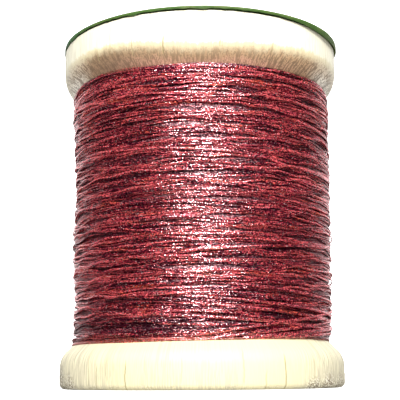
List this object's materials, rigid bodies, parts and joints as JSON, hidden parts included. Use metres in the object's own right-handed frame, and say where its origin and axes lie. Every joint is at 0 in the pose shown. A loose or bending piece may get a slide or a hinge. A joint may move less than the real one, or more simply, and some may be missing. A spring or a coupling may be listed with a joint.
{
  "type": "spool of fly tying thread",
  "caption": "Turned wooden spool with flanged ends and a through bore, wound full of shiny dark red tying thread, with a thin green paper end label.",
  "frame": {"origin": "middle of the base face, on the spool's axis", "axes": "+Z along the spool's axis, from the bare base flange to the flange with the label"},
  "size_m": [0.0232, 0.0232, 0.0282],
  "materials": {
    "wood": "pale fine-grained wood, turned and sanded, unvarnished",
    "thread": "shiny dark red filament thread, close wound",
    "label": "plain green paper, matt to slightly satin"
  },
  "bodies": {
    "root": {"wooden_spool": "wood", "thread_winding": "thread", "end_label": "label"}
  },
  "joints": []
}
